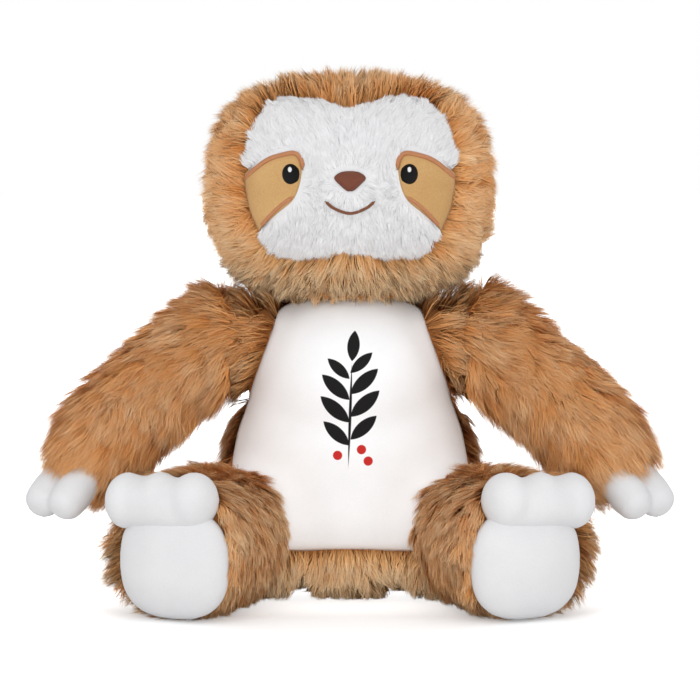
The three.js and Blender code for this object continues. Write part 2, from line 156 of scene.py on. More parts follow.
tummy_outline = [(0, 0), (0.62, 0), (0.84, 0.1), (0.97, 0.24), (1, 0.39), (0.92, 0.52), (0.82, 0.63),
                 (0.66, 0.82), (0.52, 0.96), (0, 1)]
tummy_half_width, tummy_low, tummy_high = 66 * mm, 27 * mm, 168 * mm
tummy_depth = 4 * mm
face_outline = [(0, 0.86), (0.3, 0.97), (0.6, 0.99), (0.82, 0.8), (0.94, 0.28), (0.93, -0.22), (0.81, -0.66),
                (0.66, -0.9), (0.35, -0.95), (0, -0.86)]
face_half_width, face_half_height, face_height = 56 * mm, 40.5 * mm, 222.5 * mm
patch_shape = [(-0.79, 0.5), (-0.6, 0.98), (0.1, 0.82), (0.9, 0.32), (1.3, -0.1), (0.6, -1.2), (0.3, -0.98),
               (-0.1, -0.64), (-0.6, -0.2)]
patch_middle, patch_half = (40 * mm, 218 * mm), (19 * mm, 20 * mm)


def sided(point, side):
    return Vector((point[0] * side, point[1], point[2]))


# %% [markdown]
# ## Shader maths in plain Python
# A material's nodes are wired here as expressions. `Wire` wraps a socket, so that `1 - mask * 0.4` adds its
# Math nodes by itself, and `NodeTree.node` adds any other node from its type, its settings and its inputs.

# %% Wrap a socket
class Wire:
    def __init__(self, nodes, socket):
        self.nodes, self.socket = nodes, socket

    def math(self, operation, *others, clamp=False):
        settings = {"operation": operation, "use_clamp": clamp}
        return self.nodes.node("ShaderNodeMath", settings, dict(enumerate((self, *others))))[0]

    def __add__(self, other):
        return self.math("ADD", other)

    __radd__ = __add__

    def __sub__(self, other):
        return self.math("SUBTRACT", other)

    def __rsub__(self, other):
        return (self * -1).math("ADD", other)

    def __mul__(self, other):
        return self.math("MULTIPLY", other)

    __rmul__ = __mul__

    def between(self, low, high):
        return ((self - low) * (1 / (high - low))).math("ADD", 0, clamp=True)


class Added:
    def __init__(self, nodes, node):
        self.nodes, self.node = nodes, node

    def __getitem__(self, output):
        return Wire(self.nodes, self.node.outputs[output])


# %% [markdown]
# A material and the sky behind the toy are both trees of nodes, so one method adds a node to either. A
# ramp's stops are a list inside its node, and have their own small method.

# %% Add nodes to a tree
class NodeTree:
    def __init__(self, tree):
        self.tree = tree
        tree.nodes.clear()

    def node(self, kind, settings=None, inputs=None):
        node = self.tree.nodes.new(kind)
        for name, value in (settings or {}).items():
            if name == "stops":
                self.set_stops(node, value)
            else:
                setattr(node, name, value)
        for name, value in (inputs or {}).items():
            if isinstance(value, Wire):
                self.tree.links.new(value.socket, node.inputs[name])
            else:
                node.inputs[name].default_value = value
        return Added(self, node)

    def set_stops(self, node, stops):
        ramp = node.color_ramp.elements
        while len(ramp) < len(stops):
            ramp.new(0.5)
        for stop, (place, colour) in zip(ramp, stops):
            stop.position, stop.color = place, colour

    def mix(self, share, first, second):
        return self.node("ShaderNodeMix", {"data_type": "RGBA"}, {0: share, 6: first, 7: second})[2]


# %% [markdown]
# A finish is a material with one Principled shader. What is the same all over goes straight onto the
# shader's own socket, and what changes over the surface comes in as a wire.

# %% Make a finish
class Finish(NodeTree):
    def __init__(self, name):
        self.material = bpy.data.materials.new(name)
        self.material.use_nodes = True
        super().__init__(self.material.node_tree)
        shader = self.node("ShaderNodeBsdfPrincipled")
        self.surface = shader.node
        self.node("ShaderNodeOutputMaterial", {}, {"Surface": shader[0]})

    def set(self, **sockets):
        names = {"color": "Base Color", "glow": "Emission Color", "shine": "Specular IOR Level"}
        for name, value in sockets.items():
            socket = self.surface.inputs[names.get(name, name.replace("_", " ").title())]
            if isinstance(value, Wire):
                self.tree.links.new(value.socket, socket)
            else:
                socket.default_value = value
        return self

    def place(self):
        return self.node("ShaderNodeTexCoord")["Object"]

    def noise(self, size, vector=None, detail=2.0, roughness=0.5):
        wires = {"Vector": vector or self.place(), "Scale": 1 / size, "Detail": detail, "Roughness": roughness}
        return self.node("ShaderNodeTexNoise", {}, wires)[0]

    def bump(self, height, depth, strength=1.0):
        wires = {"Height": height, "Distance": depth, "Strength": strength}
        return self.node("ShaderNodeBump", {}, wires)["Normal"]


def paint(piece, finish):
    piece.data.materials.clear()
    piece.data.materials.append(finish.material)
    return piece


def srgb(red, green, blue):
    linear = [((c / 255 + 0.055) / 1.055) ** 2.4 if c > 10 else c / 255 / 12.92 for c in (red, green, blue)]
    return (*linear, 1)


# %% [markdown]
# ## The finishes
# Long-pile plush is paler at its tips than at its roots, and each lock has its own tone. The brown pile's
# darkest roots are partly its own colour and partly painted shade, deep in the pile between the locks. Every
# strand of the pile carries a small map: across it runs from root to tip, and up it holds the strand's tone.
# The colours read that map, so thousands of strands share one material and still differ.

# %% Make the pile finish
def pile_finish(name, middle, dark, pale, roughness=0.65):
    """A pile from its root, over a colour at the middle's place on the strand, to its tip."""
    finish = Finish(name)
    strand = finish.node("ShaderNodeUVMap", {"uv_map": "strand"})[0]
    parts = finish.node("ShaderNodeSeparateXYZ", {}, {0: strand})
    along, tone = parts[0], parts[1]
    shades = []
    for colours in (dark, pale):
        stops = [(place, srgb(*colour)) for place, colour in zip((0, middle, 1), colours)]
        shades.append(finish.node("ShaderNodeValToRGB", {"stops": stops}, {0: along})[0])
    return finish.set(color=finish.mix(tone, *shades), roughness=roughness, shine=0.2)


# The root colours are partly the pile's own and partly painted shade between the locks.
brown_fur = pile_finish(
    "brown_fur", 0.45,
    [(164, 92, 38), (224, 142, 70), (242, 178, 106)],
    [(186, 124, 66), (241, 189, 128), (254, 232, 194)],
)
white_fur = pile_finish(
    "white_fur", 0.5,
    [(226, 226, 228), (234, 234, 236), (240, 240, 241)],
    [(232, 232, 234), (242, 242, 243), (247, 247, 247)],
)
print("two pile finishes")

# %% [markdown]
# Under the pile lies knitted backing cloth, and the tummy, hands and feet are short velour: a dense nap that
# is smooth from a step away and finely speckled close up. Suede cloth has the same kind of nap in tan.

# %% Make the cloth finishes
def nap_finish(name, deep, pale, grain, depth, sheen=0.1, roughness=0.9):
    deep, pale = srgb(*deep), srgb(*pale)
    finish = Finish(name)
    patch, speck = finish.noise(28 * mm, detail=3.0), finish.noise(grain, detail=4.0, roughness=0.7)
    share = (patch * 0.5 + speck * 0.5).between(0.3, 0.7)
    finish.set(color=finish.mix(share, deep, pale), roughness=roughness, shine=0.2)
    return finish.set(normal=finish.bump(speck, depth, 0.6), sheen_weight=sheen, sheen_roughness=0.5)


backing = nap_finish("backing", (150, 94, 48), (182, 120, 68), 1.5 * mm, 0.3 * mm, sheen=0.0)
white_backing = nap_finish("white_backing", (218, 218, 220), (228, 228, 229), 1.5 * mm, 0.3 * mm, sheen=0.0)
velour = nap_finish("velour", (214, 214, 216), (226, 226, 227), 0.7 * mm, 0.12 * mm)
printed_velour = nap_finish("printed_velour", (240, 240, 241), (250, 250, 251), 0.7 * mm, 0.12 * mm)
suede = nap_finish("suede", (180, 138, 86), (210, 170, 116), 0.8 * mm, 0.25 * mm)

# %% [markdown]
# The tummy carries a small print in ink: a sprig of pointed leaves with red berries. Ink has no thickness
# that shows, so it is a colour of the velour. A leaf is the overlap of two discs, and a berry is one disc,
# each measured from the place on the cloth as seen from the front.

# %% Print the sprig
def print_sprig(finish, origin):
    parts = finish.node("ShaderNodeSeparateXYZ", {}, {0: finish.place()})
    flat = finish.node("ShaderNodeCombineXYZ", {}, {0: parts[0], 1: 0.0, 2: parts[2]})[0]

    def disc(x, z, radius):
        spot = (origin[0] + x * mm, 0, origin[1] + z * mm)
        away = finish.node("ShaderNodeVectorMath", {"operation": "DISTANCE"}, {0: flat, 1: spot})["Value"]
        return (radius * mm - away).between(0, 0.3 * mm)

    def leaf(x, z, angle, half_length, half_width):
        way = Vector((math.cos(angle), math.sin(angle)))
        middle = Vector((x, z)) + way * half_length
        radius = (half_length ** 2 + half_width ** 2) / (2 * half_width)
        aside = Vector((-way[1], way[0])) * (radius - half_width)
        return disc(*(middle + aside), radius) * disc(*(middle - aside), radius)

    def add(first, second):
        return first.math("MAXIMUM", second)

    stem = leaf(-1, -30, math.radians(88), 30, 0.9)
    ink = add(stem, leaf(1, 28, math.radians(84), 8, 3.4))
    for height, length in ((-16, 9.5), (-4, 10.5), (8, 10), (19, 8)):
        for lean in (42, 138):
            lift = 3 if lean == 42 else 0
            ink = add(ink, leaf(0, height + lift, math.radians(lean), length, length * 0.37))
    berries = disc(6, -18, 2.6)
    for x, z in ((-6.5, -21), (9.5, -24)):
        berries = add(berries, disc(x, z, 2.6))
    cloth = finish.surface.inputs["Base Color"].links[0].from_socket
    inked = finish.mix(ink, Wire(finish, cloth), srgb(20, 19, 19))
    finish.set(color=finish.mix(berries, inked, srgb(196, 44, 40)))


print_sprig(printed_velour, (0, 100 * mm))

# %% [markdown]
# Embroidery is satin stitch: threads laid side by side. A wave across them gives each thread its ridge, and
# the same wave paints shade into the grooves between the threads and a highlight onto their crests.

# %% Make the thread finishes
def thread_finish(name, deep, pale, shine, roughness):
    finish = Finish(name)
    across = finish.node("ShaderNodeUVMap", {"uv_map": "thread"})[0]
    settings = {"wave_type": "BANDS", "bands_direction": "X", "wave_profile": "SIN"}
    wires = {"Vector": across, "Scale": 0.9, "Distortion": 0.6, "Detail": 1.0, "Detail Scale": 1.0}
    ridge = finish.node("ShaderNodeTexWave", settings, wires)["Fac"]
    # The colour follows the ridge: painted shade in the grooves, painted highlight on the crests.
    finish.set(color=finish.mix(ridge, srgb(*deep), srgb(*pale)), roughness=roughness, shine=shine)
    return finish.set(normal=finish.bump(ridge, 0.12 * mm, 0.8))


brown_thread = thread_finish("brown_thread", (88, 48, 30), (150, 92, 62), 0.3, 0.45)
tan_thread = thread_finish("tan_thread", (158, 98, 60), (212, 148, 102), 0.4, 0.5)
nose_thread = thread_finish("nose_thread", (88, 42, 28), (136, 80, 58), 0.25, 0.55)
black_thread = thread_finish("black_thread", (3, 3, 3), (14, 12, 12), 0.12, 0.5)
white_thread = thread_finish("white_thread", (225, 225, 226), (250, 250, 250), 0.5, 0.4)
print("cloth and thread finishes")

# %% [markdown]
# ## Stuffed forms
# On the real toy each form is cut from flat cloth, sewn and filled with fibre. A form is blocked out here from
# balls, eggs and tubes at the CAD's sizes. A voxel remesh welds them into one closed skin, smoothing eases
# the creases between them, and a displacement moves the skin in by the depth of the pile.

# %% Block out with balls, eggs and tubes
def ball(centre, radius):
    bpy.ops.mesh.primitive_uv_sphere_add(segments=48, ring_count=24, radius=radius, location=centre)
    return bpy.context.object


def egg(centre, half_sizes, turn=0.0):
    bpy.ops.mesh.primitive_uv_sphere_add(segments=48, ring_count=24, radius=1, location=centre,
                                         rotation=(0, 0, turn), scale=half_sizes)
    return bpy.context.object


def cushion(centre, half_sizes, squareness, turn=0.0):
    """An egg whose outline from the front has fuller corners, the more the higher its squareness."""
    bpy.ops.mesh.primitive_uv_sphere_add(segments=64, ring_count=48, radius=1)
    piece = bpy.context.object
    round_points = unit(places(piece))
    x, y, z = np.abs(round_points.T)
    reach = (x ** squareness + z ** squareness) ** (1 / squareness)
    move_to(piece, round_points / np.hypot(reach, y)[:, None] * np.array(half_sizes))
    piece.location, piece.rotation_euler = centre, (0, 0, turn)
    return set_down(piece)


def tube(points, radii):
    line = bpy.data.curves.new("tube", "CURVE")
    line.dimensions = "3D"
    line.bevel_depth, line.bevel_resolution, line.use_fill_caps = 1.0, 6, True
    spline = line.splines.new("POLY")
    spline.points.add(len(points) - 1)
    for place, point, radius in zip(spline.points, points, radii):
        place.co, place.radius = (*point, 1), radius
    only(put_in_scene("tube", line))
    bpy.ops.object.convert(target="MESH")
    return bpy.context.object


# %% [markdown]
# `sewn_skin` turns such forms into cloth: `voxel` is the size of the remesh, `easing` the number of rounds
# of smoothing, and `inset` how deep the cloth lies under the pile.

# %% Sew a skin over the forms
def smooth_shaded(piece):
    piece.data.shade_smooth()
    return piece


def sewn_skin(name, forms, voxel, easing, inset):
    skin = join(name, forms)
    skin.data.remesh_voxel_size = voxel
    bpy.ops.object.voxel_remesh()
    modify(skin, "SMOOTH", factor=0.5, iterations=easing)
    if inset:
        modify(skin, "DISPLACE", direction="NORMAL", mid_level=0, strength=-inset)
    modify(skin, "SMOOTH", factor=0.5, iterations=3)
    return smooth_shaded(skin)


# %% [markdown]
# The filling pushes the cloth out, so a skin swells a little between its seams. The cloth simulation does
# this with air pressure and no gravity, over twenty frames, and no point may move further than a small cap.

# %% Fill a skin with fibre
def fill_with_fibre(skin, pressure, cap):
    before = places(skin)
    only(skin)
    cloth = skin.modifiers.new("filling", "CLOTH")
    cloth.settings.quality = 4
    cloth.settings.mass = 0.3
    cloth.settings.use_pressure = True
    cloth.settings.uniform_pressure_force = pressure
    cloth.settings.effector_weights.gravity = 0
    cloth.point_cache.frame_start, cloth.point_cache.frame_end = 1, 20
    for moment in range(1, 21):
        bpy.context.scene.frame_set(moment)
    bpy.ops.object.modifier_apply(modifier=cloth.name)
    bpy.context.scene.frame_set(1)
    shift = places(skin) - before
    size = np.linalg.norm(shift, axis=1, keepdims=True)
    move_to(skin, before + shift * np.minimum(1, cap / np.maximum(size, 1e-9)))
    print(skin.name, "swelled by up to", round(float(np.minimum(size, cap).max()) / mm, 1), "mm")
    return skin


# %% [markdown]
# ### Torso
# The torso is a pear that widens to a flat base, with a round neck, round shoulders and round hips. Its
# outline is drawn as a chain of points and spun about the upright axis.

# %% Make the torso skin
def pear():
    bpy.ops.mesh.primitive_circle_add(vertices=3, radius=1)
    piece = bpy.context.object
    mesh = piece.data
    mesh.clear_geometry()
    flank = [(across * torso_half_width, 0, up * torso_height) for across, up in torso_outline]
    chain = [(0, 0, 0), *flank, (0, 0, torso_height)]
    mesh.from_pydata(chain, [(i, i + 1) for i in range(len(chain) - 1)], [])
    only(piece)
    bpy.ops.object.mode_set(mode="EDIT")
    bpy.ops.mesh.select_all(action="SELECT")
    bpy.ops.mesh.spin(steps=48, angle=2 * math.pi, center=(0, 0, 0), axis=(0, 0, 1))
    bpy.ops.mesh.select_all(action="SELECT")
    bpy.ops.mesh.remove_doubles(threshold=0.01 * mm)
    bpy.ops.mesh.normals_make_consistent(inside=False)
    bpy.ops.object.mode_set(mode="OBJECT")
    piece.scale = (1, torso_half_depth / torso_half_width, 1)
    return piece


def torso_forms():
    forms = [pear(), ball(neck, neck_radius)]
    for seam, radius in ((shoulder, shoulder_radius), (hip, hip_radius)):
        forms += [ball(sided(seam, side), radius) for side in (left, right)]
    return forms


def flatten_base(piece, level):
    points = places(piece)
    points[:, 2] = np.maximum(points[:, 2], level)
    return move_to(piece, points)


torso_skin = sewn_skin("torso_skin", torso_forms(), 4 * mm, 8, pile_depth)
flatten_base(torso_skin, ground_gap)
print("torso skin:", len(torso_skin.data.polygons), "faces")

# %% [markdown]
# ### Head
# The head is a wide cushion with squared corners. A ball's points are moved onto that form by formula, which
# also tells later how deep the face lies at any place, so the embroidery can be set on it exactly.

# %% Make the head skin
def head_depth(x, z, depth):
    half = [size - depth for size in head_half]
    across, up = np.abs(x / half[0]), np.abs((z - head_middle[2]) / half[2])
    reach = (across ** head_squareness + up ** head_squareness) ** (2 / head_squareness)
    return head_middle[1] - half[1] * np.sqrt(np.maximum(1 - reach, 0))


head_skin = cushion(head_middle, head_half - Vector((1, 1, 1)) * pile_depth, head_squareness)
head_skin.name = head_skin.data.name = "head_skin"
smooth_shaded(head_skin)
print("head skin:", len(head_skin.data.polygons), "faces")

# %% [markdown]
# ### Arms and legs
# An arm is a tube that swells and tapers along a curve from the shoulder to the wrist. A leg is a short wide
# tube from the hip to the foot. Each swell lists shares of the way and the share of the full radius there.

# %% Make the limb skins
def arm_point(share):
    return (1 - share) ** 2 * arm_start + 2 * share * (1 - share) * arm_bend + share ** 2 * arm_end


def eased(swell, shares):
    return np.interp(shares, *zip(*swell))


arm_swell = [(0, 0.86), (0.35, 1), (0.86, 1.03), (0.97, 0.9), (1.02, 0.66)]
leg_swell = [(0, 0.62), (0.08, 0.9), (0.45, 1.02), (0.88, 1.04), (1, 0.84)]


def arm_skin(side, name):
    shares = np.linspace(0.2, 1.02, 28)
    points = [sided(arm_point(s), side) for s in shares]
    tubes = tube(points, arm_radius * eased(arm_swell, shares))
    return sewn_skin(f"arm_skin_{name}", [tubes], 3 * mm, 6, pile_depth)


def leg_skin(side, name):
    shares = np.linspace(0.12, 1, 22)
    points = [sided(hip + leg_way * (leg_length * s), side) for s in shares]
    tubes = tube(points, leg_radius * eased(leg_swell, shares))
    skin = sewn_skin(f"leg_skin_{name}", [tubes], 3 * mm, 6, pile_depth)
    return flatten_base(skin, ground_gap)


sides = ((left, "left"), (right, "right"))
arm_skins = {name: arm_skin(side, name) for side, name in sides}
leg_skins = {name: leg_skin(side, name) for side, name in sides}
print("limb skins:", [len(s.data.polygons) for s in (*arm_skins.values(), *leg_skins.values())])

# %% [markdown]
# ### Hands and feet
# Hands and feet have no fur, so their shape shows. A hand is a small palm with two long fingers.

# %% Make the hands
finger_swell = [(0, 0.7), (0.2, 0.95), (0.6, 1), (0.85, 0.9), (0.95, 0.68), (1, 0.4)]


def hand(side, name):
    forms = [ball(sided(wrist, side), 15 * mm)]
    for finger in (-1, 1):
        start = wrist + hand_across * (finger * 8.2 * mm)
        shares = np.linspace(0, 1, 20)
        points = [sided(start + hand_way * ((4 + 32 * s) * mm), side) for s in shares]
        forms.append(tube(points, 10.4 * mm * eased(finger_swell, shares)))
    return sewn_skin(f"hand_velour_{name}", forms, 1.6 * mm, 6, 0)


hands = {name: hand(side, name) for side, name in sides}
print("hands:", [len(s.data.polygons) for s in hands.values()])

# %% [markdown]
# A foot is a round sole, and over it a broad mitt with three toe bumps, divided from the sole by a crease.
# Its parts are placed by how far across, forward and up they are from the foot's middle, in millimetres.

# %% Make the feet
foot_middle = hip + leg_way * (88 * mm)


def foot_place(side, across, forward, height):
    spot = foot_middle + leg_across * (across * mm) + leg_way * (forward * mm)
    return sided((spot[0], spot[1], height * mm), side)


def sole(side, name):
    forms = [cushion(foot_place(side, 0, 0, 30), Vector((30.5, 15, 28.8)) * mm, 2.6, side * leg_splay)]
    return sewn_skin(f"sole_velour_{name}", forms, 2 * mm, 3, 0)


def toes(side, name):
    forms = [cushion(foot_place(side, 8, 0, 60), Vector((30, 15.5, 13.5)) * mm, 3.6, side * leg_splay)]
    for across, width, height in ((-11.5, 12.5, 62.5), (8, 11, 61.8), (26.5, 11, 60.5)):
        place = foot_place(side, across, 0.5, height)
        forms.append(egg(place, Vector((width, 15, 14.6)) * mm, side * leg_splay))
    return sewn_skin(f"toe_velour_{name}", forms, 1.6 * mm, 14, 0)


soles = {name: sole(side, name) for side, name in sides}
toe_mitts = {name: toes(side, name) for side, name in sides}
for pad in (*hands.values(), *soles.values(), *toe_mitts.values()):
    fill_with_fibre(pad, pressure=3.0, cap=1.2 * mm)
    paint(pad, velour)
print("feet:", [len(s.data.polygons) for s in (*soles.values(), *toe_mitts.values())])

# %% [markdown]
# ## Flat panels on round forms
# The tummy, the face and the eye patches are cut from flat cloth and sewn on. Their outlines and seams are
# smooth curves through a few points: between two of them the curve bends by the points on either side.

# %% Draw smooth lines
def curve(a, b, c, d, share):
    """The places at a share of the way from b to c, on the curves that pass through a, b, c and d."""
    t = share[:, None]
    return 0.5 * (2 * b + (c - a) * t + (2 * a - 5 * b + 4 * c - d) * t ** 2 + (3 * b - a - 3 * c + d) * t ** 3)


def closed_line(points, steps):
    points = np.asarray(points, float)
    at = np.arange(steps) * len(points) / steps
    first = np.floor(at).astype(int)
    return curve(*(points[(first + k) % len(points)] for k in (-1, 0, 1, 2)), at - first)


def open_line(points, steps):
    points = np.asarray(points, float)
    ends = np.vstack([2 * points[0] - points[1], points, 2 * points[-1] - points[-2]])
    at = np.linspace(0, len(points) - 1 - 1e-6, steps)
    first = np.floor(at).astype(int)
    return curve(*(ends[first + k] for k in range(4)), at - first)


def mirrored(half, half_width, low, height):
    near = [(x * half_width, low + z * height) for x, z in half]
    return near + [(-x, z) for x, z in near[-2:0:-1]]


tummy_line = closed_line(mirrored(tummy_outline, tummy_half_width, tummy_low, tummy_high - tummy_low), 120)
face_line = closed_line(mirrored(face_outline, face_half_width, face_height, face_half_height), 120)
print("tummy and face outlines:", len(tummy_line), "and", len(face_line), "points")

# %% [markdown]
# A panel is its outline, filled with rings of faces by extruding the outline inwards. Its points count from
# the edge to the middle, ring by ring, which tells how far in each of them lies.

# %% Fill a line with rings
def ring_panel(name, outline, rings):
    """A flat panel, and how far each of its points is from the edge as a share of the way in."""
    bpy.ops.mesh.primitive_circle_add(vertices=len(outline), radius=1)
    piece = bpy.context.object
    piece.name = piece.data.name = name
    middle = outline.mean(0)
    move_to(piece, [(x, 0, z) for x, z in outline])
    bpy.ops.object.mode_set(mode="EDIT")
    bpy.ops.mesh.select_all(action="SELECT")
    for ring in range(rings - 1, 0, -1):
        bpy.ops.mesh.extrude_edges_move()
        bpy.ops.transform.resize(value=(ring / (ring + 1),) * 3, center_override=(middle[0], 0, middle[1]))
    bpy.ops.mesh.extrude_edges_move()
    bpy.ops.mesh.merge(type="CENTER")
    bpy.ops.mesh.select_all(action="SELECT")
    bpy.ops.mesh.normals_make_consistent(inside=False)
    bpy.ops.object.mode_set(mode="OBJECT")
    count = len(piece.data.vertices)
    return piece, np.minimum(np.arange(count) // len(outline), rings) / rings


def face_front(piece):
    if sum(face.normal[1] for face in piece.data.polygons) > 0:
        piece.data.flip_normals()


def inside_line(line, x, z, grow=0.0):
    """Whether points lie inside a closed line that is grown by a distance about its middle."""
    middle = line.mean(0)
    angles = np.arctan2(line[:, 1] - middle[1], line[:, 0] - middle[0])
    order = np.argsort(angles)
    reach = np.hypot(*(line - middle).T)[order]
    at = np.arctan2(z - middle[1], x - middle[0])
    edge = np.interp(at, angles[order], reach, period=2 * math.pi)
    return np.hypot(x - middle[0], z - middle[1]) < edge + grow


# %% [markdown]
# ### Tummy
# The white panel is sewn to the body all round, and its cloth lies flat on the filling. Rays from the front
# find the form under each point. The panel's edge is tucked in towards its seam, the outermost ring deepest,
# and only under the chin it stays flat. That ring is smoothed along itself and put back after the rest, so
# the smoothing can't pull the seam off the body.

# %% Lay the tummy on the torso
def skin_tree(piece):
    return BVHTree.FromObject(piece, bpy.context.evaluated_depsgraph_get())


def lay_on_front(panel, tree, rise):
    """Lays a panel on a form along rays from the front, which tilt downwards near the neck."""
    points = places(panel)
    for point, lift in zip(points, rise):
        tilt = np.interp(point[2], [140 * mm, 168 * mm], [0, math.radians(45)])
        way = Vector((0, math.cos(tilt), -math.sin(tilt)))
        start = Vector((point[0], -20 * mm, point[2]))
        hit, normal, *_ = tree.ray_cast(start - way, way)
        if hit is None:
            hit, normal, *_ = tree.find_nearest(start)
        point[:] = hit + normal * lift
    return move_to(panel, points)


chest_guide = sewn_skin("chest_guide", torso_forms(), 4 * mm, 8, tummy_depth)
tummy, inwards = ring_panel("tummy_velour", tummy_line, 26)
tuck = np.interp(inwards, [0, 0.04, 0.2, 1], [4.6 * mm, 1 * mm, 0.2 * mm, 0])
tuck *= np.interp(places(tummy)[:, 2], [150 * mm, 162 * mm], [1, 0])
lay_on_front(tummy, skin_tree(chest_guide), -tuck)
bpy.data.objects.remove(chest_guide)
face_front(tummy)
edge = places(tummy)[:len(tummy_line)]
for _ in range(4):
    edge = (np.roll(edge, 1, 0) + 2 * edge + np.roll(edge, -1, 0)) / 4
modify(tummy, "SMOOTH", factor=0.5, iterations=4)
move_to(tummy, np.concatenate([edge, places(tummy)[len(edge):]]))
modify(tummy, "SOLIDIFY", thickness=1.4 * mm, offset=-1)
smooth_shaded(paint(tummy, printed_velour))
print("tummy:", len(tummy.data.polygons), "faces")

# %% [markdown]
# ## The pile
# Fur is what makes this toy, and a bump or a picture can't give its ragged outline, so it is real strands.
# Their roots are strewn evenly over a skin: a triangle is picked by its area, then a place in it. Blender's
# noise takes its seed from the clock unless it is given one.

# %% Strew points over a skin
noise.seed_set(1)


def strew(skin, count, rng):
    mesh = skin.data
    mesh.calc_loop_triangles()
    corners = np.zeros(len(mesh.loop_triangles) * 3, int)
    mesh.loop_triangles.foreach_get("vertices", corners)
    corners = corners.reshape(-1, 3)
    points = places(skin)
    normals = np.zeros(len(mesh.vertices) * 3)
    mesh.vertices.foreach_get("normal", normals)
    normals = normals.reshape(-1, 3)
    a, b, c = (points[corners[:, k]] for k in range(3))
    area = np.linalg.norm(np.cross(b - a, c - a), axis=1)
    chosen = rng.choice(len(corners), count, p=area / area.sum())
    u, v = rng.random((2, count))
    fold = u + v > 1
    u[fold], v[fold] = 1 - u[fold], 1 - v[fold]
    shares = np.stack([1 - u - v, u, v], 1)[:, :, None]
    return (points[corners[chosen]] * shares).sum(1), unit((normals[corners[chosen]] * shares).sum(1))


def nearest_lock(points, centres):
    tree = KDTree(len(centres))
    for index, centre in enumerate(centres):
        tree.insert(centre, index)
    tree.balance()
    return np.array([tree.find(point)[1] for point in points])


def wander(points, size, seed):
    """Smooth random vectors, one for each point, that change over about that size."""
    offset = Vector((seed * 7.3, seed * 3.1, seed * 5.7))
    return np.array([noise.noise_vector(Vector(point) / size + offset) for point in points])


# %% [markdown]
# Each strand is a narrow ribbon of a few faces that tapers to a point. One mesh takes all strands of a piece,
# written from arrays, since one call for each strand would take minutes. Their normals follow the form and
# the lock rather than the ribbon, so that the pile is shaded as one soft body. The strand map is written
# twice: once for the finish and once as a map named OFBake, which the finish doesn't read.

# %% Make ribbons
def ribbon_mesh(name, lines, across, widths, tones, facing):
    """Tapered ribbons: lines is strands x steps x 3, and the last step is the pointed tip."""
    strands, steps, _ = lines.shape
    sides = across[:, None, :] * (widths[None, :-1, None] / 2)
    body = lines[:, :-1]
    both = np.stack([body - sides, body + sides], 2).reshape(strands, -1, 3)
    corners = np.concatenate([both, lines[:, -1:]], 1)
    per = corners.shape[1]
    faces = []
    for step in range(steps - 2):
        k = step * 2
        faces += [(k, k + 1, k + 3), (k, k + 3, k + 2)]
    faces.append((per - 3, per - 2, per - 1))
    faces = np.array(faces)
    every = (faces[None] + (np.arange(strands) * per)[:, None, None]).reshape(-1, 3)
    mesh = bpy.data.meshes.new(name)
    mesh.vertices.add(strands * per)
    mesh.vertices.foreach_set("co", corners.ravel())
    mesh.loops.add(every.size)
    mesh.loops.foreach_set("vertex_index", every.ravel())
    mesh.polygons.add(len(every))
    mesh.polygons.foreach_set("loop_start", np.arange(0, every.size, 3))
    mesh.update(calc_edges=True)
    along = np.repeat(np.linspace(0.02, 0.98, steps), 2)[:-1]
    aside = np.tile([-0.004, 0.004], steps)[:per]
    aside[-1] = 0
    up = 0.02 + 0.96 * tones[:, None] + aside[None]
    chart = np.stack([np.broadcast_to(along, up.shape), up], 2).reshape(-1, 2)
    for layer in ("strand", "OFBake"):
        mesh.uv_layers.new(name=layer).data.foreach_set("uv", chart[every.ravel()].ravel())
    piece = smooth_shaded(put_in_scene(name, mesh))
    mesh.normals_split_custom_set_from_vertices(np.repeat(facing, per, 0))
    return piece


# %% [markdown]
# Plush pile is combed and clumps into locks. So some roots are picked as lock centres, each with a way, a
# length, a lift off the cloth and a tone, and every strand bends towards its lock. `clump` says how far it
# does, `mess` how far the locks stray from the comb, `leave` how much more they rise where the comb leads
# off the cloth, and `turn` how much the ribbons' flat sides differ. A lock's tone strays at random from the
# `tone` given for its place; where the pile lies in shade that tone is set paler, which is painted light.

# %% Grow locks of pile
most_strands = 64000
strand_steps = np.linspace(0, 1, 3)
lowest_tip = 0.4 * mm


def by_height(heights, values, measure=1):
    """A table of heights in mm and values, as a function that gives the value at the height of each point."""
    return lambda points: np.interp(points[:, 2], np.array(heights) * mm, np.array(values) * measure)


def at_places(value, spots):
    """A value that is the same all over, or that a function gives for each place."""
    return value(spots) if callable(value) else np.full(len(spots), value)


def strand_line(start, normal, way, reach, rise):
    """Lines that leave the cloth steeply by their rise and bend over along their way."""
    reach, rise, s = reach[:, None, None], rise[:, None, None], strand_steps[None, :, None]
    up = (rise * 1.35 * s - rise * 0.5 * s ** 2) * normal[:, None]
    out = np.sqrt(np.maximum(1 - rise ** 2, 0.05)) * (0.6 * s + 0.4 * s ** 2) * way[:, None]
    return start[:, None] + (up + out) * reach


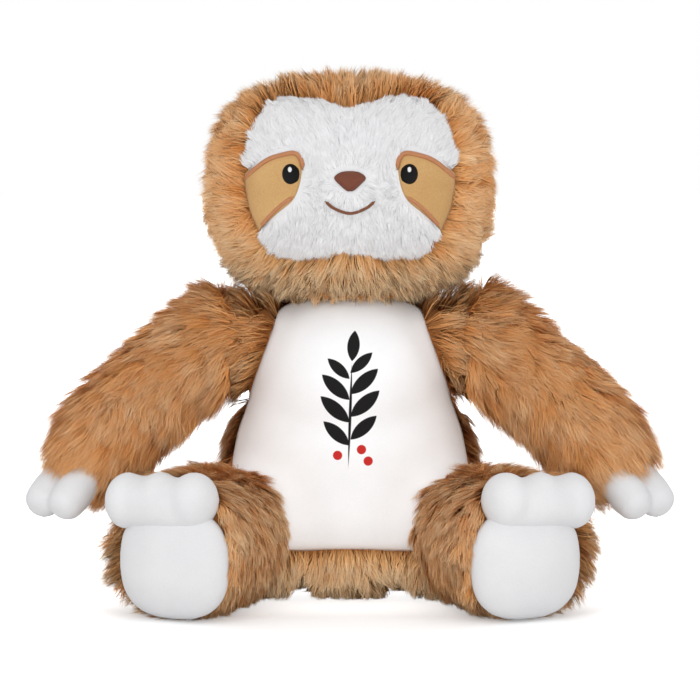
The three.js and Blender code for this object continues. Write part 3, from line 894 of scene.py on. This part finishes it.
def grow(name, points, normals, comb, finish, seed, most=most_strands, length=17 * mm, width=0.43 * mm,
         lock=4.4 * mm, lift=0.5, clump=0.5, mess=0.3, tone=0.6, curl=0.12, leave=0.0, turn=0.45):
    rng = np.random.default_rng(seed)
    points, normals = points[:most], normals[:most]
    area = len(points)
    picks = rng.choice(area, max(int(area / (2.1 * (lock / mm) ** 2)), 20), replace=False)
    centres, lock_normals = points[picks], normals[picks]
    sway = wander(centres, 16 * mm, seed)
    jitter = rng.normal(size=(len(picks), 3))
    way = unit(comb(centres))
    away = np.clip((way * lock_normals).sum(1), 0, 1)
    way = way + sway * mess * 2 + jitter * mess * 0.55
    way = unit(way - lock_normals * (way * lock_normals).sum(1, keepdims=True))
    lock_length = at_places(length, centres) * rng.uniform(0.8, 1.15, len(picks))
    lock_lift = at_places(lift, centres) + at_places(leave, centres) * away
    lock_lift = np.clip(lock_lift + rng.normal(size=len(picks)) * 0.08, 0.15, 0.95)
    lock_tone = at_places(tone, centres) + rng.normal(size=len(picks)) * 0.15 + sway[:, 0] * 0.35
    lock_tone = np.clip(lock_tone, 0.02, 0.98)
    mine = nearest_lock(points, centres)
    s = strand_steps[None, :, None]
    own = way[mine] + rng.normal(size=(area, 3)) * 0.26
    own = unit(own - normals * (own * normals).sum(1, keepdims=True))
    reach = lock_length[mine] * rng.uniform(0.68, 1.1, area)
    rise = np.clip(lock_lift[mine] + rng.normal(size=area) * 0.06, 0.2, 0.97)
    free = strand_line(points, normals, own, reach, rise)
    led = strand_line(centres, lock_normals, way, lock_length, lock_lift)[mine]
    led = led + rng.normal(size=(area, 1, 3)) * (0.35 * mm) * s
    hold = clump * s ** 1.3 * rng.uniform(0.6, 1.1, (area, 1, 1))
    lines = free * (1 - hold) + led * hold
    sideways = unit(np.cross(normals, own))[:, None] * np.sin(s * rng.uniform(2, 5, (area, 1, 1)))
    lines = lines + sideways * rng.normal(size=(area, 1, 1)) * 0.6 * curl * reach[:, None, None]
    lines[:, :, 2] = np.maximum(lines[:, :, 2], lowest_tip)
    ahead = unit(lines[:, -1] - lines[:, 0])
    facing = unit(normals + rng.normal(size=(area, 3)) * turn)
    across = unit(np.cross(ahead, facing))
    widths = width * np.interp(strand_steps, [0, 0.3, 0.7, 1], [0.9, 1, 0.7, 0])
    tones = np.clip(lock_tone[mine] + rng.normal(size=area) * 0.13, 0, 1)
    soft = unit(normals + (lock_normals + sway * 0.5)[mine] * 0.6)
    soft = soft - ahead * (soft * ahead).sum(1, keepdims=True) * 0.8 + rng.normal(size=(area, 3)) * 0.2
    return paint(ribbon_mesh(name, lines, across, widths, tones, unit(soft)), finish)


# %% [markdown]
# Where one form is sewn onto another, neither has pile, so roots that lie inside a neighbour are dropped. A
# negative margin keeps a strip of them behind the seam, which shows when a limb swings away.

# %% Drop the roots that a neighbour covers
def clear_of(points, neighbour, margin):
    """Whether points lie further out of a neighbour than a margin, which is negative for some depth in it."""
    tree = skin_tree(neighbour)
    low, high = places(neighbour).min(0) - abs(margin), places(neighbour).max(0) + abs(margin)
    near = ((points > low) & (points < high)).all(1)
    clear = np.ones(len(points), bool)
    for index in np.flatnonzero(near):
        hit, normal, _, distance = tree.find_nearest(Vector(points[index]))
        outward = (Vector(points[index]) - hit).dot(normal)
        clear[index] = math.copysign(distance, outward) > margin
    return clear


def chosen(keep, *arrays):
    return [array[keep] for array in arrays]


def outside(points, normals, neighbours, margin=0):
    for neighbour in neighbours:
        points, normals = chosen(clear_of(points, neighbour, margin), points, normals)
    return points, normals


def on_face(points, normals, wider):
    """Whether points of the head lie in the face's outline, grown by a distance."""
    front = (points[:, 1] < head_middle[1] + 5 * mm) & (normals[:, 1] < -0.05)
    return front & inside_line(face_line, points[:, 0], points[:, 2], wider)


# %% [markdown]
# ### Fur of the head
# The pile is brushed away from the face: up over the brow, out at the cheeks and down at the chin and the
# back. The white face is a separate panel, so brown pile stops at its outline and hangs a little over it.

# %% Grow the head's fur
def head_comb(points):
    from_face = points - np.array([0, -60 * mm, 214 * mm])
    from_face[:, 1] *= 0.25
    front = np.clip((-points[:, 1] + 30 * mm) / (60 * mm), 0, 1)[:, None]
    return unit(from_face) * (0.35 + 0.65 * front) + np.array([0, 0.3, -1.0]) * (1 - front) * 0.8


def grow_halves(name, points, normals, comb, seed, **looks):
    """The brown pile of a form's two halves, which are sewn together at x = 0."""
    halves = []
    for side, side_name in sides:
        half = chosen(points[:, 0] * side > 0, points, normals)
        halves.append(grow(f"{name}_{side_name}", *half, comb, brown_fur, seed + side, **looks))
    return halves


points, normals = strew(head_skin, 166000, np.random.default_rng(11))
under = np.linalg.norm(points - np.array(neck), axis=1) < neck_radius + 6 * mm
points, normals = chosen(~on_face(points, normals, -1.0 * mm) & ~under, points, normals)
head_fur = grow_halves(
    "head_fur", points, normals, head_comb, 21,
    length=by_height([168, 180, 190, 240, 258], [20, 19, 18, 17, 19], mm),
    lift=by_height([172, 190, 235, 258], [0.4, 0.5, 0.52, 0.68]),
    leave=by_height([178, 192, 245, 262], [0.9, 0.15, 0.15, 0.25]),
    # Paler under the chin: painted light that lifts the shade beneath the head.
    tone=by_height([178, 206], [1.0, 0.46]),
)
print("head fur:", [len(f.data.polygons) for f in head_fur])

# %% [markdown]
# The face's roots are strewn now, and its white pile grows once the patches and the nose are laid, round
# which it parts. Its roots lie 2.5 mm over the head's skin, just under the face's own cloth.

# %% Strew the face's roots
def face_comb(points):
    """Upwards on the brow, sideways and down on the cheeks, and always away from the patches."""
    way = unit((points - np.array([0, 0, 221 * mm])) * np.array([1, 0, 1.6]))
    for side in (left, right):
        away = (points - np.array([patch_middle[0] * side, 0, patch_middle[1]])) * np.array([1, 0, 1])
        far = np.linalg.norm(away, axis=1, keepdims=True)
        way = way + unit(away) * 2.5 * np.exp(-(far / (24 * mm)) ** 4)
    return unit(way)


points, normals = strew(head_skin, 250000, np.random.default_rng(12))
keep = on_face(points, normals, -1.5 * mm)
points, normals = chosen(keep, points + normals * 2.5 * mm, normals)
print("roots on the face:", len(points))

# %% [markdown]
# ### Eye patches, eyes, nose and mouth
# The suede patches are sewn into the face and stand lower than its pile. Each is a panel that rises a little
# from its edge, and so are the eyes and the nose later. The thread map gives a place on a panel or a band in
# millimetres, so that the finish can lay its threads side by side there.

# %% Set the patches on the face
def map_threads(mesh, spots):
    """Writes the thread map: at every corner of a face, the spot of the corner's point."""
    corner = np.zeros(len(mesh.loops), int)
    mesh.loops.foreach_get("vertex_index", corner)
    mesh.uv_layers.new(name="thread").data.foreach_set("uv", spots[corner].ravel())


def patch_place(shares, side):
    return np.array([((patch_middle[0] + a * patch_half[0]) * side, patch_middle[1] + u * patch_half[1])
                     for a, u in shares])


def on_head(points, depth):
    points[:, 1] = head_depth(points[:, 0], points[:, 2], depth)
    return points


def domed_panel(name, line, rings, low, high, finish, round_share=0.35):
    """A panel on the head whose edge lies at depth low and whose middle rises to depth high."""
    piece, inwards = ring_panel(name, line, rings)
    shape = np.sqrt(np.clip(1 - (1 - np.clip(inwards / round_share, 0, 1)) ** 2, 0, 1))
    points = places(piece)
    move_to(piece, on_head(points, low + (high - low) * shape))
    face_front(piece)
    modify(piece, "SMOOTH", factor=0.5, iterations=6, use_x=False, use_z=False)
    modify(piece, "SOLIDIFY", thickness=0.8 * mm, offset=-1)
    map_threads(piece.data, places(piece)[:, [0, 2]] / mm)
    return smooth_shaded(paint(piece, finish))


face_cloth = domed_panel("face_cloth", face_line, 20, 8.4 * mm, 5.0 * mm, white_backing, 0.12)
patches, patch_lines = [], {}
for side, name in sides:
    line = closed_line(patch_place(patch_shape, side), 90)
    middle = line.mean(0)
    for _ in range(40):  # draws in what reaches over the face's edge
        inner = inside_line(face_line, line[:, 0], line[:, 1], 2 * mm)
        line = np.where(inner[:, None], line, line * 0.98 + middle * 0.02)
    patch_lines[name] = line
    patches.append(domed_panel(f"eye_patch_suede_{name}", line, 14, 5.4 * mm, 3.4 * mm, suede, 0.25))
print("patches:", [len(p.data.polygons) for p in patches])

# %% [markdown]
# A patch's two long edges are bound with satin stitch: thread laid side by side across a narrow band. A band
# is swept along its line as nine rows of points, the first and last on the face and the middle one highest.

# %% Stitch the bands
def band(name, line, half_width, low, rise, finish):
    """A domed band of satin stitch along a line of (x, z) points on the head."""
    line = np.asarray(line)
    run = unit(np.gradient(line, axis=0))
    side = np.stack([-run[:, 1], run[:, 0]], 1)
    rows = []
    place = np.arange(len(line))
    fade = np.clip(np.minimum(place, place[::-1]) / 3, 0.25, 1)
    for angle in np.linspace(0, math.pi, 9):
        spot = line + side * math.cos(angle) * half_width * fade[:, None]
        depth = low - rise * math.sin(angle) * fade
        rows.append(np.stack([spot[:, 0], head_depth(spot[:, 0], spot[:, 1], depth), spot[:, 1]], 1))
    rows = np.array(rows)
    count, length = rows.shape[:2]
    last = (count - 1) * length
    faces = [(r + k, r + k + 1, r + length + k + 1, r + length + k)
             for r in range(0, last, length) for k in range(length - 1)]
    faces += [(last + k, last + k + 1, k + 1, k) for k in range(length - 1)]
    ends = range(0, count * length, length)
    faces += [tuple(ends), tuple(r + length - 1 for r in ends)[::-1]]
    mesh = bpy.data.meshes.new(name)
    mesh.from_pydata(rows.reshape(-1, 3).tolist(), [], faces)
    far = np.concatenate([[0], np.cumsum(np.hypot(*np.diff(line, axis=0).T))]) / mm
    row, place = np.divmod(np.arange(count * length), length)
    map_threads(mesh, np.stack([far[place], row * 0.3], 1))
    piece = put_in_scene(name, mesh)
    only(piece)
    bpy.ops.object.mode_set(mode="EDIT")
    bpy.ops.mesh.select_all(action="SELECT")
    bpy.ops.mesh.normals_make_consistent(inside=False)
    bpy.ops.object.mode_set(mode="OBJECT")
    return smooth_shaded(paint(piece, finish))


upper_edge = [(-0.82, 0.5), (-0.77, 0.78), (-0.58, 0.94), (-0.2, 0.88), (0.15, 0.76), (0.5, 0.52), (0.85, 0.2)]
lower_edge = [(-0.58, -0.16), (-0.25, -0.38), (0, -0.6), (0.2, -0.8), (0.36, -0.98)]
stitches = {}
for side, name in sides:
    for edge, shares in (("upper", upper_edge), ("lower", lower_edge)):
        line = open_line(patch_place(shares, side), 40)
        stitches[edge, name] = band(f"patch_satin_{edge}_{name}", line, 1.25 * mm, 4.6 * mm, 1.7 * mm,
                                    tan_thread)
print("bands:", len(stitches))

# %% [markdown]
# Eyes and nose are filled satin stitch, and each eye has a glint of white thread at its top. They rise higher
# than the patches, over 0.8 or 0.9 of the way to their middles. The smile is a band of its own.

# %% Embroider the eyes, the nose and the smile
def oval(x, z, half_width, half_height, steps=48):
    turn = np.linspace(0, 2 * math.pi, steps, endpoint=False)
    return np.stack([x + half_width * np.cos(turn), z + half_height * np.sin(turn)], 1)


eyes, glints = {}, {}
for side, name in sides:
    eye_x = 30.9 * mm * side
    line = oval(eye_x, 226 * mm, 4.8 * mm, 5.9 * mm)
    eyes[name] = domed_panel(f"eye_satin_{name}", line, 8, 4.4 * mm, 2.2 * mm, black_thread, 0.8)
    line = oval(eye_x - 0.2 * mm, 228.2 * mm, 1.2 * mm, 1.6 * mm, 20)
    glints[name] = domed_panel(f"eye_glint_satin_{name}", line, 4, 2.9 * mm, 1.7 * mm, white_thread, 0.9)

nose_shape = [(0, 1), (0.62, 0.86), (1, 0.3), (0.62, -0.42), (0.22, -0.95), (0, -1)]
nose_line = closed_line(mirrored(nose_shape, 8.2 * mm, 222.5 * mm, 5.2 * mm), 60)
nose = domed_panel("nose_satin", nose_line, 10, 4.5 * mm, 0.9 * mm, nose_thread, 0.9)
smile_shape = [(-1, 1), (-0.62, -0.2), (0, -1), (0.62, -0.2), (1, 1)]
smile_line = open_line([(a * 13 * mm, 209 * mm + u * 3.2 * mm) for a, u in smile_shape], 50)
smile = band("mouth_satin", smile_line, 0.8 * mm, 3.4 * mm, 1.0 * mm, brown_thread)
print("nose and smile:", [len(p.data.polygons) for p in (nose, smile)])

# %% [markdown]
# The white pile is shorter and lies flatter than the brown. Its roots end a little outside the patches and
# the nose, and just clear of the smile, so that no strand grows through thread.

# %% Grow the white pile round the embroidery
covered = np.zeros(len(points), bool)
for line, wider in ((patch_lines["left"], 0.8 * mm), (patch_lines["right"], 0.8 * mm), (nose_line, 1.1 * mm)):
    covered |= inside_line(line, points[:, 0], points[:, 2], wider)
from_smile = points[:, None, [0, 2]] - smile_line[None]
smile_far = np.min(np.hypot(from_smile[..., 0], from_smile[..., 1]), 1)
points, normals = chosen(~covered & (smile_far > 1.2 * mm), points, normals)
face_fur = grow("face_fur", points, normals, face_comb, white_fur, 31, most=60000, length=7 * mm,
                width=0.4 * mm, lock=5 * mm, lift=0.32, clump=0.4, mess=0.22, curl=0.06, turn=0.15)
print("face fur:", len(face_fur.data.polygons))

# %% [markdown]
# ### Fur of the body, arms and legs
# On the body the pile falls downwards, and at the shoulders it fans out over the roots of the arms. It starts
# a little inside the tummy's outline, so that its fringe hides the seam.

# %% Grow the body's fur
def down_comb(points):
    """Downwards, but at the shoulders outwards over the roots of the arms."""
    down = unit(points * np.array([1, 1, 0])) * 0.25 + np.array([0, 0, -1.0])
    far = np.linalg.norm(np.abs(points) * np.array([1, 0.7, 1]) - np.array([58, 0, 146]) * mm, axis=1)
    near = np.exp(-(far / (35 * mm)) ** 4)[:, None]
    outward = np.sign(points) * np.array([1.0, 0.25, 0])
    outward[:, 2] = np.interp(points[:, 2], [138 * mm, 152 * mm], [-0.3, 0.6])
    return down * (1 - near) + near * outward


points, normals = strew(torso_skin, 208000, np.random.default_rng(13))
front = (points[:, 1] < -5 * mm) & (normals[:, 1] < 0)
fringe = np.interp(points[:, 2], [130 * mm, 145 * mm], [2.5 * mm, 5 * mm])
in_tummy = front & inside_line(tummy_line, points[:, 0], points[:, 2], -fringe)
points, normals = chosen(~in_tummy & (points[:, 2] < 161 * mm), points, normals)
points, normals = outside(points, normals, arm_skins.values(), margin=-12 * mm)
points, normals = outside(points, normals, leg_skins.values(), margin=-14 * mm)
body_fur = grow_halves(
    "body_fur", points, normals, down_comb, 41, leave=0.65,
    length=by_height([110, 140, 152], [17, 23, 27], mm),
    lift=by_height([30, 120, 140, 152], [0.45, 0.5, 0.45, 0.7]),
    # Paler the lower it lies: painted light that lifts the shade low on the body, between and under the legs.
    tone=by_height([30, 60, 110, 150], [1.0, 0.75, 0.6, 0.42]),
)
print("body fur:", [len(f.data.polygons) for f in body_fur])

# %% [markdown]
# The ring of fur cloth at the neck turns between body and head. It is hidden until the head tips back, so a
# short pile is enough. Its points are strewn over the CAD node itself, which is only read.

# %% Grow the neck's fur
neck_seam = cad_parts["neck_seam"]
points, normals = strew(neck_seam, 26000, np.random.default_rng(17))
points, normals = chosen(normals[:, 2] > 0, points, normals)
# The palest tone is painted light, lifting the shade under the chin.
neck_fur = grow("neck_fur", points, normals, down_comb, brown_fur, 71, most=9000, length=8 * mm, lift=0.4,
                tone=1.0)
print("neck fur:", len(neck_fur.data.polygons))

# %% [markdown]
# On an arm the pile runs from the shoulder to the hand and sags on its underside. It is longest at the root
# and round the wrist, where it frames the hand, and it stands up most on top of the shoulder.

# %% Comb the arms' fur
arm_line = np.array([arm_point(share) for share in np.linspace(0, 1, 40)])


def below_arm(points):
    """How far points lie below the arm's middle line, from -1 on its top to 1 on its underside."""
    middle = np.interp(np.abs(points[:, 0]), arm_line[:, 0], arm_line[:, 2])
    return np.clip((middle - points[:, 2]) / (20 * mm), -1, 1)


def out_along(points, places_out, values):
    """A value for each point by a table of how far out, in mm, it lies from the toy's middle."""
    return np.interp(np.abs(points[:, 0]), np.array(places_out) * mm, values)


def arm_comb(side):
    first = unit(np.array(sided(arm_bend - arm_start, side)))
    last = unit(np.array(sided(arm_end - arm_bend, side)))

    def comb(points):
        share = np.clip((np.abs(points[:, 0]) - 60 * mm) / (70 * mm), 0, 1)[:, None]
        sag = 0.3 + 0.6 * np.clip(below_arm(points), 0, 1)[:, None]
        return unit(first * (1 - share) + last * share) - np.array([0, 0, 1.0]) * sag

    return comb


def arm_length(points):
    length = out_along(points, [60, 80, 100, 120, 138], np.array([25, 22, 18, 19, 25]) * mm)
    return length + np.clip(below_arm(points), 0, 1) * 4 * mm


def arm_lift(points):
    lift = out_along(points, [60, 85, 120, 138], [0.6, 0.52, 0.48, 0.36])
    return lift + np.clip(-below_arm(points), 0, 1) * out_along(points, [70, 95], [0.25, 0])


def far_along(points, start, way, side):
    """How far points lie from a start along a way, both given for the left side."""
    return (points - np.array(sided(start, side))) @ np.array(sided(way, side))


def grow_arm(side, name, rng):
    points, normals = strew(arm_skins[name], 77000, rng)
    root, root_way = arm_point(0.2), (arm_bend - arm_start).normalized()
    facing_back = normals @ np.array(sided(root_way, side)) < -0.3
    hidden_end = facing_back & (far_along(points, root, root_way, side) < 12 * mm)
    points, normals = chosen(~hidden_end, points, normals)
    points, normals = outside(points, normals, [torso_skin, hands[name]])
    return grow(f"arm_fur_{name}", points, normals, arm_comb(side), brown_fur, 51 + side,
                length=arm_length, lift=arm_lift, tone=0.34)


# %% [markdown]
# On a leg the pile falls forwards and down, and fans out round the sole on the outer side, where it is
# longest. The foot's own end and the hidden end in the hip have none.

# %% Grow the arms' and legs' fur
def leg_comb(side):
    way, across = np.array(sided(leg_way, side)), np.array(sided(leg_across, side))

    def comb(points):
        aside = far_along(points, hip, leg_across, side) / (30 * mm)
        return way * 0.3 + across * np.clip(aside, -0.15, 0.8)[:, None] + np.array([0, 0, -0.8])

    return comb


def across_leg(side, places_out, values):
    """A table of how far out on the leg, in mm, and values there, as a function of points."""
    return lambda points: np.interp(far_along(points, hip, leg_across, side), np.array(places_out) * mm, values)


def grow_leg(side, name, rng):
    points, normals = strew(leg_skins[name], 87000, rng)
    share = far_along(points, hip, leg_way, side) / leg_length
    facing_on = normals @ np.array(sided(leg_way, side))
    points, normals = chosen((share < 0.93) & (facing_on < 0.6) & (facing_on > -0.5), points, normals)
    points, normals = outside(points, normals, [torso_skin, soles[name], toe_mitts[name]])
    return grow(f"leg_fur_{name}", points, normals, leg_comb(side), brown_fur, 61 + side,
                length=across_leg(side, [-25, 0, 30], np.array([13, 18, 24]) * mm),
                # A paler tone than the arms': painted light that lifts the shade on the legs' inner sides.
                lift=across_leg(side, [-25, 0], [0.38, 0.5]), tone=0.6, leave=0.5)


arm_fur, leg_fur = {}, {}
for side, name in sides:
    rng = np.random.default_rng(14 + side)
    arm_fur[name] = grow_arm(side, name, rng)
    leg_fur[name] = grow_leg(side, name, rng)
print("limb fur:", [len(f.data.polygons) for f in (*arm_fur.values(), *leg_fur.values())])

# %% [markdown]
# ## Put the pieces on their bodies
# Each piece rides on the CAD body that carries it and stands for the CAD nodes that it covers, which are
# hidden.

# %% Ride and replace
def belongs(piece, body, nodes=()):
    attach(piece, body)
    if nodes:
        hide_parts(*nodes)


for skin in (torso_skin, *arm_skins.values(), *leg_skins.values(), head_skin):
    paint(skin, backing)
belongs(torso_skin, "torso", ["body_stuffing", "base_cover"])
belongs(tummy, "torso", ["tummy_panel"])
belongs(head_skin, "head", ["head_stuffing"])
belongs(face_cloth, "head", ["face_panel"])
belongs(face_fur, "head")
belongs(nose, "head", ["nose"])
belongs(smile, "head", ["mouth"])
for (side, name), fur, trunk, patch in zip(sides, head_fur, body_fur, patches):
    belongs(fur, "head", [f"head_cover_{name}"])
    belongs(trunk, "torso", [f"body_cover_{name}"])
    belongs(patch, "head", [f"eye_patch_{name}"])
    belongs(eyes[name], "head", [f"eye_{name}"])
    belongs(glints[name], "head", [f"eye_glint_{name}"])
    for edge in ("upper", "lower"):
        belongs(stitches[edge, name], "head", [f"patch_stitch_{edge}_{name}"])
    belongs(arm_skins[name], f"arm_{name}", [f"arm_stuffing_{name}"])
    belongs(arm_fur[name], f"arm_{name}", [f"arm_cover_{name}"])
    belongs(hands[name], f"hand_{name}", [f"hand_{name}", f"hand_stuffing_{name}"])
    belongs(leg_skins[name], f"leg_{name}", [f"leg_stuffing_{name}"])
    belongs(leg_fur[name], f"leg_{name}", [f"leg_cover_{name}"])
    belongs(soles[name], f"leg_{name}", [f"sole_{name}"])
    belongs(toe_mitts[name], f"leg_{name}", [f"toes_{name}"])
belongs(neck_fur, "neck")
paint(neck_seam, backing)

# %% [markdown]
# ## Floor, light and camera
# The toy sits on a white ground, as in the photograph. The floor is lit like any surface near the toy, where
# its shadow falls, and fades to plain glowing white further out. Only rays that the camera sees, also by way
# of gloss or through something clear, meet that glow, so it doesn't light the toy from below.

# %% Lay the floor
white = (1, 1, 1, 1)


def seen_directly(nodes):
    path = nodes.node("ShaderNodeLightPath")
    return path["Is Camera Ray"] + path["Is Glossy Ray"] + path["Is Transmission Ray"]


bpy.ops.mesh.primitive_plane_add(size=12, location=(0, 0, 0))
floor = set_down(bpy.context.object)
floor.name = "floor"
ground = Finish("floor_white")
spot = ground.node("ShaderNodeSeparateXYZ", {}, {0: ground.place()})
beside = spot[0].math("ABSOLUTE").between(0.11, 0.18)
behind, before = spot[1].between(-0.09, -0.02), (spot[1] * -1).between(0.17, 0.3)
away = beside.math("MAXIMUM", behind).math("MAXIMUM", before)
glow = ground.mix(seen_directly(ground), (0, 0, 0, 1), ground.mix(away, (0.28, 0.28, 0.28, 1), white))
ground.set(color=(0.92, 0.92, 0.92, 1), roughness=0.9, shine=0.0, glow=glow, emission_strength=1.0)
paint(floor, ground)
print("floor laid")

# %% [markdown]
# The light comes from a white sky all round, a large lamp low in front, one above on the left and a weak one
# overhead. The sky's light is a little weaker than the plain white that the camera sees behind the toy.

# %% Light the toy
world = bpy.data.worlds.new("studio")
bpy.context.scene.world = world
world.use_nodes = True
sky = NodeTree(world.node_tree)
lighting = sky.node("ShaderNodeBackground", {}, {"Color": white, "Strength": 0.76})
backdrop = sky.node("ShaderNodeBackground", {}, {"Color": white, "Strength": 1.0})
both = sky.node("ShaderNodeMixShader", {}, {0: seen_directly(sky), 1: lighting[0], 2: backdrop[0]})
sky.node("ShaderNodeOutputWorld", {}, {0: both[0]})


def lamp(name, place, size, power, aim=(0, 0, 0.13)):
    light = bpy.data.lights.new(name, "AREA")
    light.shape, light.size, light.energy = "SQUARE", size, power
    piece = put_in_scene(name, light)
    piece.location = place
    piece.rotation_euler = (Vector(aim) - Vector(place)).to_track_quat("-Z", "Y").to_euler()


lamp("key", place=(-0.5, -1.5, 1.1), size=1.2, power=4.5)
lamp("fill", place=(0.25, -1.8, 0.2), size=1.2, power=13)
lamp("top", place=(0, 0.2, 1.8), size=1.4, power=1.5)
print("a sky and three lamps")

# %% [markdown]
# The camera is where the photograph's was: 1.6 m away and five degrees above level. Its lens shows as much of
# the toy's height as the photograph does.

# %% Place the camera
tilt, distance, aim = math.radians(5), 1.6, Vector((0, 0, 0.1295))
sensor, half_view = 36, 0.118125
lens = bpy.data.cameras.new("camera")
lens.sensor_width, lens.lens = sensor, sensor / (2 * half_view)
camera = put_in_scene("camera", lens)
camera.location = aim + Vector((0, -math.cos(tilt), math.sin(tilt))) * distance
camera.rotation_euler = (math.pi / 2 - tilt, 0, 0)
bpy.context.scene.camera = camera
bpy.context.scene.view_settings.view_transform = "Standard"
print("camera lens:", round(lens.lens, 1), "mm")
